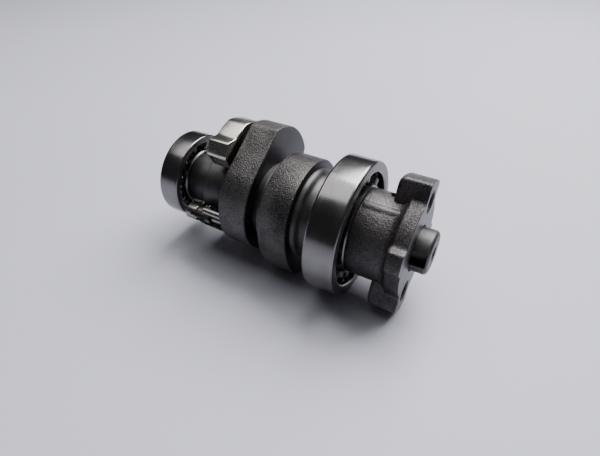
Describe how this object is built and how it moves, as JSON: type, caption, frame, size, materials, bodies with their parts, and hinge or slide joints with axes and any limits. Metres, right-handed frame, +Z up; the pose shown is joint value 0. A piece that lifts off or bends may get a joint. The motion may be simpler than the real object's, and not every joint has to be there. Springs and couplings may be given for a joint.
{
  "type": "camshaft",
  "caption": "Engine camshaft with cast lobes, ball bearings at both ends, a sprung decompression weight and a flange for a bolted sprocket.",
  "frame": {"origin": "on the shaft's axis, in the flange face that the sprocket is bolted to", "axes": "+X along the shaft, out of the sprocket flange; +Z up as the part lies in the picture; +Y away from the viewer"},
  "size_m": [0.0743, 0.0357, 0.0365],
  "materials": {
    "cast_shaft": "satin",
    "cast_flange": "matte",
    "weight_steel": "polished",
    "pin_steel": "satin",
    "spring_steel": "satin",
    "ring_steel": "polished",
    "ball_steel": "polished",
    "cage_steel": "satin"
  },
  "bodies": {
    "shaft": {"camshaft": "cast_shaft", "sprocket_flange": "cast_flange", "weight_pivot_pin": "pin_steel", "weight_stop_pin": "pin_steel", "weight_return_spring": "spring_steel", "big_bearing_inner_ring": "ring_steel", "small_bearing_inner_ring": "ring_steel"},
    "weight": {"decompression_weight": "weight_steel"},
    "big_outer": {"big_bearing_outer_ring": "ring_steel"},
    "big_cage": {"big_bearing_balls": "ball_steel", "big_bearing_cage_left": "cage_steel", "big_bearing_cage_right": "cage_steel", "big_bearing_cage_rivets": "cage_steel"},
    "small_outer": {"small_bearing_outer_ring": "ring_steel"},
    "small_cage": {"small_bearing_balls": "ball_steel", "small_bearing_cage_left": "cage_steel", "small_bearing_cage_right": "cage_steel", "small_bearing_cage_rivets": "cage_steel"}
  },
  "joints": [
    {"name": "big_outer_spin", "type": "hinge", "parent": "shaft", "child": "big_outer", "pos_m": [-0.018, 0, 0], "axis": [1, 0, 0], "continuous": true},
    {"name": "big_cage_spin", "type": "hinge", "parent": "shaft", "child": "big_cage", "pos_m": [-0.018, 0, 0], "axis": [1, 0, 0], "continuous": true},
    {"name": "small_outer_spin", "type": "hinge", "parent": "shaft", "child": "small_outer", "pos_m": [-0.0665, 0, 0], "axis": [1, 0, 0], "continuous": true},
    {"name": "small_cage_spin", "type": "hinge", "parent": "shaft", "child": "small_cage", "pos_m": [-0.0665, 0, 0], "axis": [1, 0, 0], "continuous": true},
    {"name": "weight_swing", "type": "hinge", "parent": "shaft", "child": "weight", "pos_m": [-0.057, -0.01014, -0.00451], "axis": [1, 0, 0], "range_deg": [0, 8], "stiffness_Nm_per_rad": 0.02, "springref_deg": -22.92, "deforming": ["weight_return_spring"]}
  ],
  "couplings": [
    {"joint": "big_cage_spin", "follows": "big_outer_spin", "ratio": 0.59154},
    {"joint": "small_cage_spin", "follows": "small_outer_spin", "ratio": 0.58819}
  ]
}
